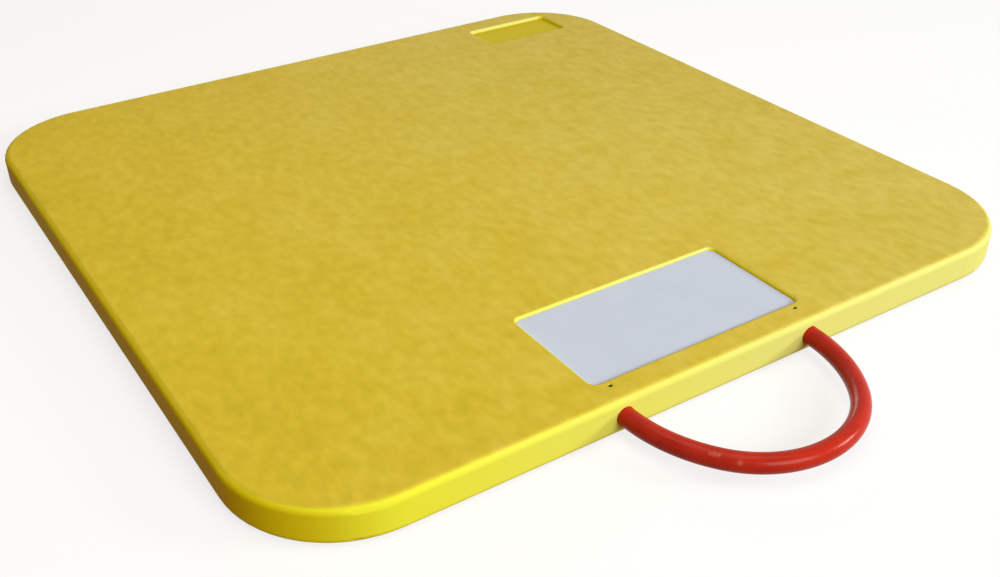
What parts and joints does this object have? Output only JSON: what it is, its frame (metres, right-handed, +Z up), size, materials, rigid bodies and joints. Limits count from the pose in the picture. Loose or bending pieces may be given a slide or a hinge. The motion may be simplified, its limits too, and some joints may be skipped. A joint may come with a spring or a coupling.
{
  "type": "crane outrigger pad",
  "caption": "Square plastic load-spreading pad with rounded corners and edges, a recessed label plate, an empty tag pocket and a looped rod handle pinned into its front edge.",
  "frame": {"origin": "centre of the plate's bottom face, on the ground", "axes": "+Z up through the plate's thickness, -Y towards the handle, +X to the right seen from the handle"},
  "size_m": [0.6096, 0.7039, 0.0254],
  "materials": {
    "pad_plastic": "pebbled yellow polyethylene with smooth routed edges",
    "label_face": "satin white, unprinted",
    "handle_coating": "smooth glossy red",
    "pin_steel": "dark oiled steel"
  },
  "bodies": {
    "root": {"pad_plate": "pad_plastic", "label_plate": "label_face", "carry_handle": "handle_coating", "handle_pins": "pin_steel"}
  },
  "joints": []
}
